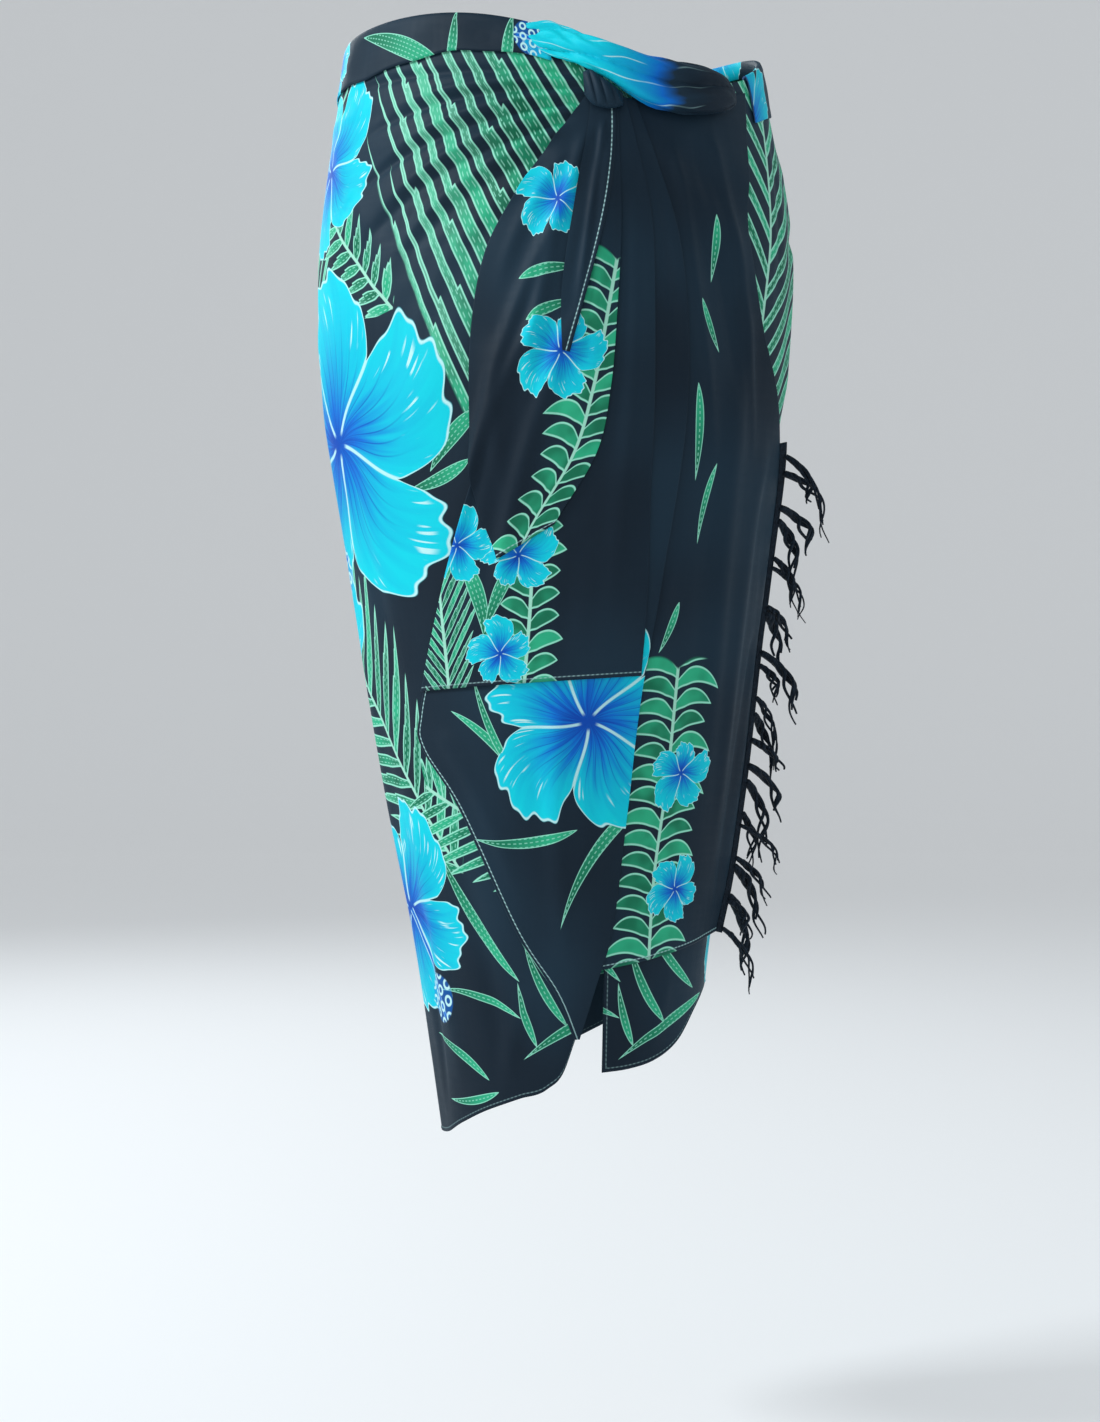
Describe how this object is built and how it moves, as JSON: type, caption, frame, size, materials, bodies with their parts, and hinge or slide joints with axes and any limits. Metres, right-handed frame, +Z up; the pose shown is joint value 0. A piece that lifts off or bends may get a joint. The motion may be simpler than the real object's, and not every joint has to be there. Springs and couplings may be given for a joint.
{
  "type": "sarong",
  "caption": "Printed hip sarong worn low: a cloth wound round the hips, its waist turned down and rolled, knotted at the left hip, with layered falls and a fringed edge.",
  "frame": {"origin": "middle of the waist opening, level with the middle of the turned-down band", "axes": "+Z up through the waist opening, -Y the way the wearer faces, +X the wearer's left, where the knot and the fringe are"},
  "size_m": [0.4062, 0.2947, 0.8346],
  "materials": {
    "printed_cloth": "light rayon, dark navy ground with large hibiscus, palm and fern print in sea blue, mint and white, soft low sheen",
    "rolled_cloth": "the same cloth where a bright blue part of its print is rolled and twisted",
    "fringe_yarn": "twisted and knotted dark yarn, matt"
  },
  "bodies": {
    "root": {"wrap": "printed_cloth", "waist_band": "printed_cloth", "waist_roll": "rolled_cloth", "knot": "rolled_cloth", "fringed_fall": "printed_cloth", "long_fall": "printed_cloth", "short_fall": "printed_cloth", "wide_tail": "printed_cloth", "narrow_tail": "printed_cloth", "fringe": "fringe_yarn"}
  },
  "joints": []
}
